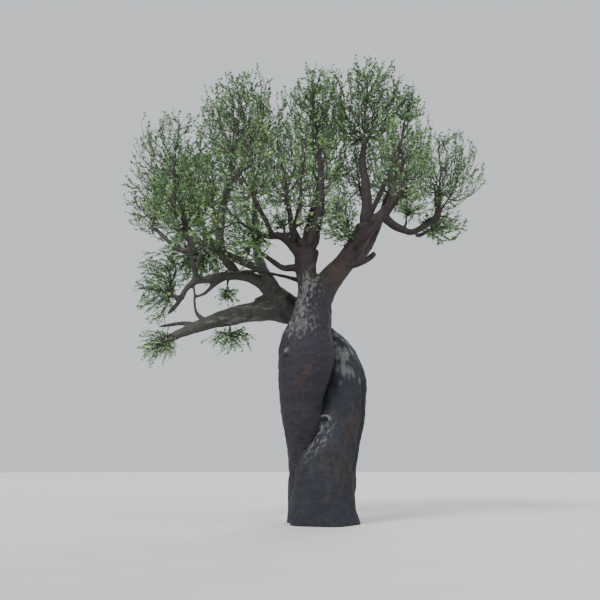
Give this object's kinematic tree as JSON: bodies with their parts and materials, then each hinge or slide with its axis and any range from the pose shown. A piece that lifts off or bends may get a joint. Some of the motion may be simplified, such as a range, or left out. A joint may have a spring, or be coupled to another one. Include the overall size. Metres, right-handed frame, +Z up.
{
  "type": "baobab tree",
  "caption": "Baobab tree with swollen trunks wound round each other from one foot, crooked spreading boughs and an open, rounded crown of leafy masses.",
  "frame": {"origin": "middle of the flat cut under the rear trunk, at ground level", "axes": "+Z up, +X to the right and +Y to the back of the tree as the picture shows it"},
  "size_m": [12.5712, 8.2546, 16.0867],
  "materials": {
    "front_bark": "dull grey-brown bark with fine wrinkles across it",
    "rear_bark": "dull blue-grey bark with fine wrinkles across it",
    "foliage": "dull mid-green leaves on fine upright twigs"
  },
  "bodies": {
    "root": {"bough_left_back": "rear_bark", "bough_left_dense": "front_bark", "bough_left_far_back": "rear_bark", "bough_left_far_front": "rear_bark", "bough_left_front": "front_bark", "bough_left_hanging": "rear_bark", "bough_left_high_front": "rear_bark", "bough_left_inner": "rear_bark", "bough_left_tip": "rear_bark", "bough_left_top": "rear_bark", "bough_left_under": "rear_bark", "bough_left_upper": "rear_bark", "bough_low_spray": "rear_bark", "bough_middle_back": "front_bark", "bough_middle_front": "front_bark", "bough_middle_inner": "front_bark", "bough_middle_left": "front_bark", "bough_middle_top": "front_bark", "bough_right_back": "front_bark", "bough_right_front": "front_bark", "bough_right_high_front": "front_bark", "bough_right_inner": "front_bark", "bough_right_low": "front_bark", "bough_right_stub": "front_bark", "bough_right_tip": "front_bark", "bough_right_top": "front_bark", "bough_right_upper": "front_bark", "foliage_left_back": "foliage", "foliage_left_dense": "foliage", "foliage_left_far_back": "foliage", "foliage_left_far_front": "foliage", "foliage_left_front": "foliage", "foliage_left_hanging": "foliage", "foliage_left_high_front": "foliage", "foliage_left_inner": "foliage", "foliage_left_low": "foliage", "foliage_left_tip": "foliage", "foliage_left_top": "foliage", "foliage_left_under": "foliage", "foliage_left_upper": "foliage", "foliage_low_spray": "foliage", "foliage_middle_back": "foliage", "foliage_middle_front": "foliage", "foliage_middle_inner": "foliage", "foliage_middle_left": "foliage", "foliage_middle_top": "foliage", "foliage_right_back": "foliage", "foliage_right_front": "foliage", "foliage_right_high_front": "foliage", "foliage_right_inner": "foliage", "foliage_right_low": "foliage", "foliage_right_tip": "foliage", "foliage_right_top": "foliage", "foliage_right_upper": "foliage", "limb_left_arch": "rear_bark", "limb_left_low": "rear_bark", "limb_middle": "front_bark", "limb_right": "front_bark", "trunk_front": "front_bark", "trunk_rear": "rear_bark"}
  },
  "joints": []
}
